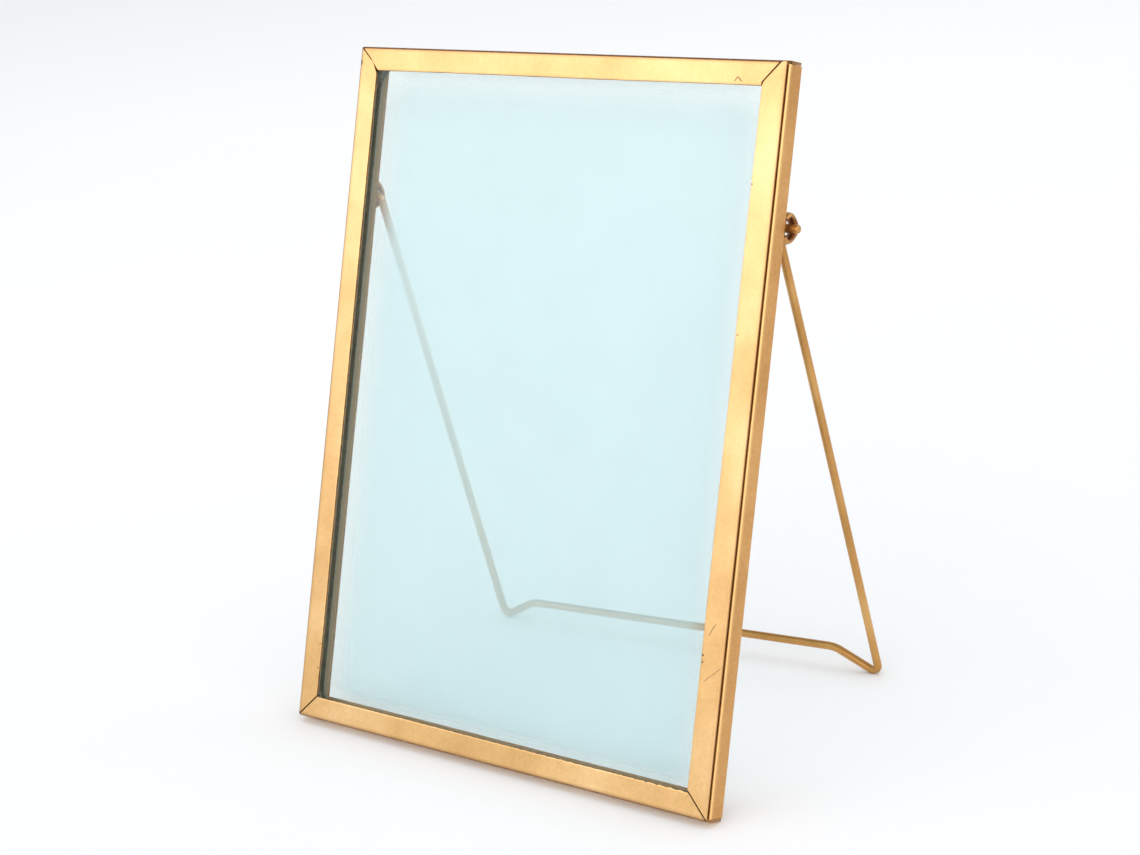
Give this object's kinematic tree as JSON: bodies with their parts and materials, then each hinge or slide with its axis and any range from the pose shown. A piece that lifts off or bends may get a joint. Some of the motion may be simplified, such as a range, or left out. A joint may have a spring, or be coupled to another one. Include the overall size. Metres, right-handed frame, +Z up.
{
  "type": "floating picture frame",
  "caption": "Table-top picture frame of folded gold sheet with two clear glass panes, leaning back on a folding easel of one bent wire.",
  "frame": {"origin": "middle of the footprint, on the table", "axes": "+Z up, the picture faces -Y and leans back towards +Y, +X to the right as seen from the front"},
  "size_m": [0.1562, 0.1, 0.1899],
  "materials": {
    "gold_cover": "satin gold paint, fine speckle",
    "gold_tray": "satin gold paint, fine speckle",
    "gold_wire": "satin gold paint on wire",
    "solder": "solder under gold paint",
    "clear_glass": "clear float glass, green-grey edges"
  },
  "bodies": {
    "rear_tray": {"tray_top_rail": "gold_tray", "tray_right_stile": "gold_tray", "tray_bottom_rail": "gold_tray", "tray_left_stile": "gold_tray", "tray_corner_solder": "solder", "rear_glass": "clear_glass", "front_glass": "clear_glass", "hinge_ring_left": "gold_wire", "hinge_ring_right": "gold_wire", "ring_solder_left": "solder", "ring_solder_right": "solder"},
    "front_cover": {"cover_top_rail": "gold_cover", "cover_right_stile": "gold_cover", "cover_bottom_rail": "gold_cover", "cover_left_stile": "gold_cover", "cover_corner_solder": "solder"},
    "stand": {"stand_wire": "gold_wire"}
  },
  "joints": [
    {"name": "stand_fold", "type": "hinge", "parent": "rear_tray", "child": "stand", "pos_m": [0, 0.012, 0.14676], "axis": [-1, 0, 0], "range_deg": [-145.3, 29.6]},
    {"name": "cover_lift", "type": "slide", "parent": "rear_tray", "child": "front_cover", "axis": [0, -0.9397, 0.342], "range_m": [0, 0.02]}
  ]
}
